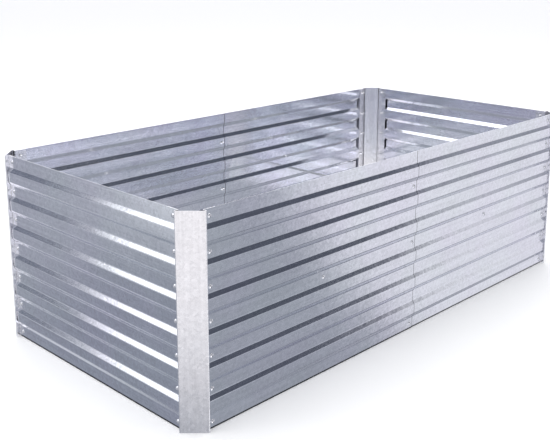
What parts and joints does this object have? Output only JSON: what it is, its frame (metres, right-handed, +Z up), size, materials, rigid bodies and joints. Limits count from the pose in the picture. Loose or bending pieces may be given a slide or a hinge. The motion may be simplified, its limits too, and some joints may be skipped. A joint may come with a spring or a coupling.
{
  "type": "raised garden bed",
  "caption": "Rectangular raised garden bed of corrugated galvanised sheet, open at top and bottom, with folded corner posts and tie rods across the inside.",
  "frame": {"origin": "centre of the footprint, on the ground", "axes": "+X along the long sides, +Y from the front side to the back, +Z up"},
  "size_m": [1.83, 0.915, 0.585],
  "materials": {
    "panel_sheet": "glossy galvanised, rolled sheet with faint spangle",
    "post_sheet": "glossy galvanised sheet with faint spangle",
    "fastener": "bright zinc plating",
    "tie_rod": "plain zinc plating"
  },
  "bodies": {
    "root": {"back_left_bolts": "fastener", "back_left_nuts": "fastener", "back_panel_left": "panel_sheet", "back_panel_right": "panel_sheet", "back_right_bolts": "fastener", "back_right_nuts": "fastener", "back_rod_bolt_left": "fastener", "back_rod_bolt_right": "fastener", "back_seam_bolts": "fastener", "back_seam_nuts": "fastener", "corner_post_back_left": "post_sheet", "corner_post_back_right": "post_sheet", "corner_post_front_left": "post_sheet", "corner_post_front_right": "post_sheet", "end_panel_left": "panel_sheet", "end_panel_right": "panel_sheet", "front_left_bolts": "fastener", "front_left_nuts": "fastener", "front_panel_left": "panel_sheet", "front_panel_right": "panel_sheet", "front_right_bolts": "fastener", "front_right_nuts": "fastener", "front_rod_bolt_left": "fastener", "front_rod_bolt_right": "fastener", "front_seam_bolts": "fastener", "front_seam_nuts": "fastener", "left_end_back_bolts": "fastener", "left_end_back_nuts": "fastener", "left_end_front_bolts": "fastener", "left_end_front_nuts": "fastener", "right_end_back_bolts": "fastener", "right_end_back_nuts": "fastener", "right_end_front_bolts": "fastener", "right_end_front_nuts": "fastener", "tie_rod_left": "tie_rod", "tie_rod_right": "tie_rod"}
  },
  "joints": []
}
